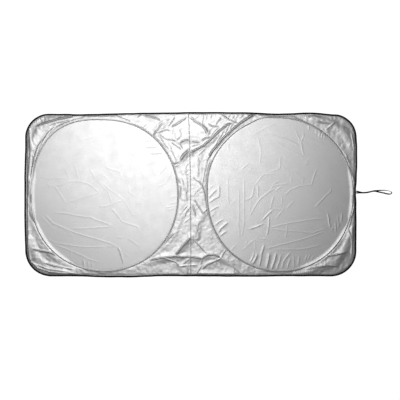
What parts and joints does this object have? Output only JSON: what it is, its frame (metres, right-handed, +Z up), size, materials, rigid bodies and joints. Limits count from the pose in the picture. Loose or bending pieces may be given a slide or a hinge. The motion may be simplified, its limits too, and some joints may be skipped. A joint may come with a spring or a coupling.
{
  "type": "windscreen sunshade",
  "caption": "Twist-fold windscreen sunshade: silver cloth held flat by hidden spring hoops, bound in black, with an elastic storage loop.",
  "frame": {"origin": "on the floor under the middle of the bound outline", "axes": "+Z up through the silver face, +X along the length towards the elastic loop, +Y across towards the bowed edge"},
  "size_m": [1.6075, 0.7181, 0.0061],
  "materials": {
    "silver_cloth": "silver-coated polyester cloth, satin sheen",
    "grey_tape": "plain woven tape",
    "black_tape": "black ribbed binding tape",
    "black_elastic": "black braided elastic",
    "spring_steel": "bright rolled strip"
  },
  "bodies": {
    "root": {"panel_left": "silver_cloth", "panel_right": "silver_cloth", "hoop_casing_left": "grey_tape", "hoop_casing_right": "grey_tape", "hoop_left": "spring_steel", "hoop_right": "spring_steel", "hoop_ferrule_left": "spring_steel", "hoop_ferrule_right": "spring_steel", "seam_tape": "grey_tape", "edge_binding": "black_tape", "elastic_loop": "black_elastic"}
  },
  "joints": []
}
